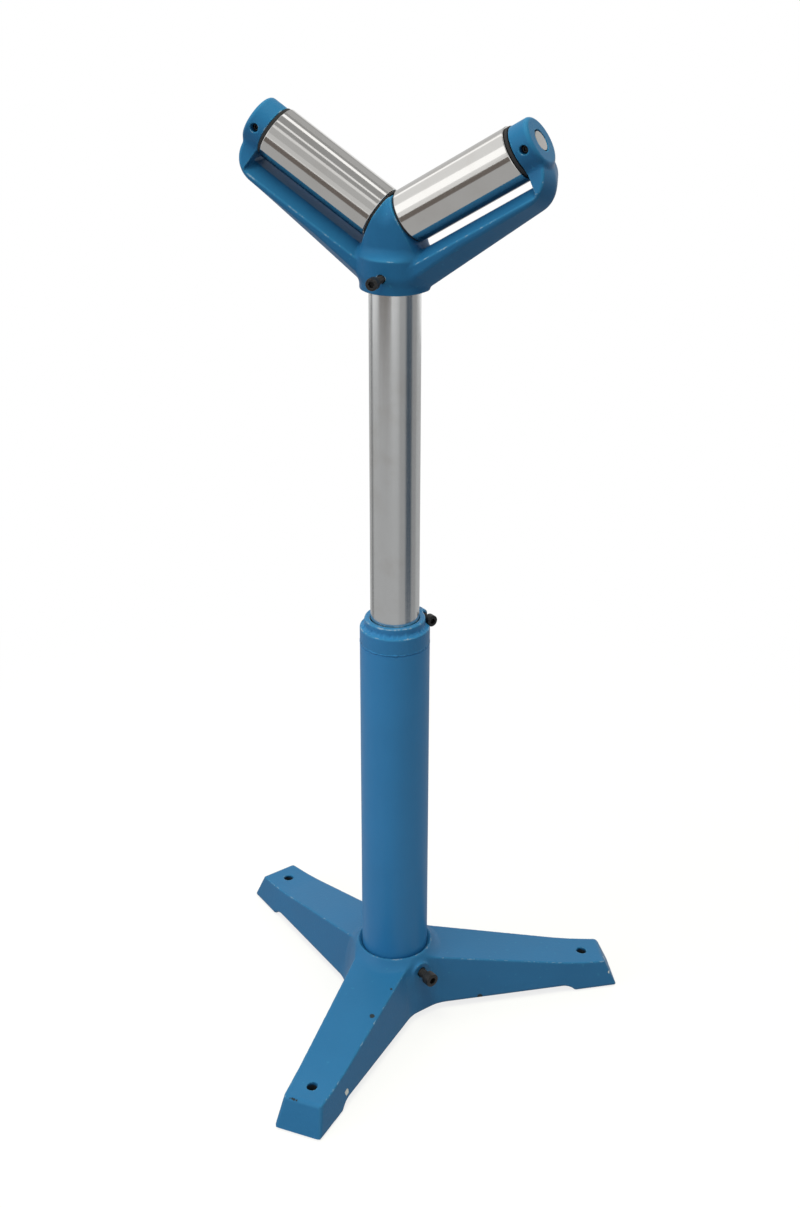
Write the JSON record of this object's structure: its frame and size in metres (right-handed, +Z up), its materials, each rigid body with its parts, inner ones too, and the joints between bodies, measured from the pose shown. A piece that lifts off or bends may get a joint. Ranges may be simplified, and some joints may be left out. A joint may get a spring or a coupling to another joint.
{
  "type": "roller stand",
  "caption": "Height-adjustable stand with a splayed cast base, a clamped sliding post and a cast fork whose bearing rollers form a V to carry pipe or bar.",
  "frame": {"origin": "on the floor, at the middle of the footprint's bounding box, under the stand", "axes": "+Z up along the post, X along the V of the rollers, and one leg points along -Y"},
  "size_m": [0.4884, 0.423, 1.0332],
  "materials": {
    "blue_paint": "semi-gloss blue enamel over cast iron and steel",
    "polished_steel": "ground and polished steel",
    "satin_steel": "drawn satin steel",
    "bearing_steel": "ground bearing steel",
    "black_oxide": "black oxide",
    "black_rubber": "matte",
    "nylon": "matte natural nylon"
  },
  "bodies": {
    "base": {"base_casting": "blue_paint", "column_tube": "blue_paint", "column_collar": "blue_paint", "collar_weld": "blue_paint"},
    "base_clamp": {"base_screw": "black_oxide"},
    "collar_clamp": {"collar_screw": "black_oxide"},
    "post": {"post_tube": "satin_steel", "post_guide_bush": "nylon", "guide_circlip": "black_oxide"},
    "head": {"head_casting": "blue_paint", "right_axle": "satin_steel", "right_axle_set_screw": "black_oxide", "right_inner_spacer": "satin_steel", "right_outer_spacer": "satin_steel", "right_inner_bearing_inner_race": "bearing_steel", "right_outer_bearing_inner_race": "bearing_steel", "left_axle": "satin_steel", "left_axle_set_screw": "black_oxide", "left_inner_spacer": "satin_steel", "left_outer_spacer": "satin_steel", "left_inner_bearing_inner_race": "bearing_steel", "left_outer_bearing_inner_race": "bearing_steel"},
    "head_clamp": {"head_screw": "black_oxide"},
    "right_roller": {"right_roller_shell": "polished_steel", "right_inner_bearing_outer_race": "bearing_steel", "right_outer_bearing_outer_race": "bearing_steel", "right_inner_seal": "black_rubber", "right_outer_seal": "black_rubber"},
    "right_cages": {"right_inner_bearing_cage": "bearing_steel", "right_outer_bearing_cage": "bearing_steel"},
    "left_roller": {"left_roller_shell": "polished_steel", "left_inner_bearing_outer_race": "bearing_steel", "left_outer_bearing_outer_race": "bearing_steel", "left_inner_seal": "black_rubber", "left_outer_seal": "black_rubber"},
    "left_cages": {"left_inner_bearing_cage": "bearing_steel", "left_outer_bearing_cage": "bearing_steel"}
  },
  "joints": [
    {"name": "base_screw_turn", "type": "hinge", "parent": "base", "child": "base_clamp", "pos_m": [0.0433, 0.02948, 0.057], "axis": [0.866, -0.5, 0], "range_deg": [0, 360]},
    {"name": "collar_screw_turn", "type": "hinge", "parent": "base", "child": "collar_clamp", "pos_m": [0.0178, 0.08531, 0.488], "axis": [0.866, -0.5, 0], "range_deg": [0, 360]},
    {"name": "post_slide", "type": "slide", "parent": "base", "child": "post", "axis": [0, 0, 1], "range_m": [-0.361, 0.026]},
    {"name": "head_swivel", "type": "hinge", "parent": "post", "child": "head", "pos_m": [0, 0.05448, 0.8584], "axis": [0, 0, 1], "continuous": true},
    {"name": "head_screw_turn", "type": "hinge", "parent": "head", "child": "head_clamp", "pos_m": [0, 0.01948, 0.8749], "axis": [0, -1, 0], "range_deg": [0, 360]},
    {"name": "right_roller_spin", "type": "hinge", "parent": "head", "child": "right_roller", "pos_m": [0, 0.05448, 0.921], "axis": [0.848, 0, 0.5299], "continuous": true},
    {"name": "right_cage_spin", "type": "hinge", "parent": "head", "child": "right_cages", "pos_m": [0, 0.05448, 0.921], "axis": [0.848, 0, 0.5299], "continuous": true},
    {"name": "left_roller_spin", "type": "hinge", "parent": "head", "child": "left_roller", "pos_m": [0, 0.05448, 0.921], "axis": [-0.848, 0, 0.5299], "continuous": true},
    {"name": "left_cage_spin", "type": "hinge", "parent": "head", "child": "left_cages", "pos_m": [0, 0.05448, 0.921], "axis": [-0.848, 0, 0.5299], "continuous": true}
  ],
  "couplings": [
    {"joint": "right_cage_spin", "follows": "right_roller_spin", "ratio": 0.61642},
    {"joint": "left_cage_spin", "follows": "left_roller_spin", "ratio": 0.61642}
  ]
}
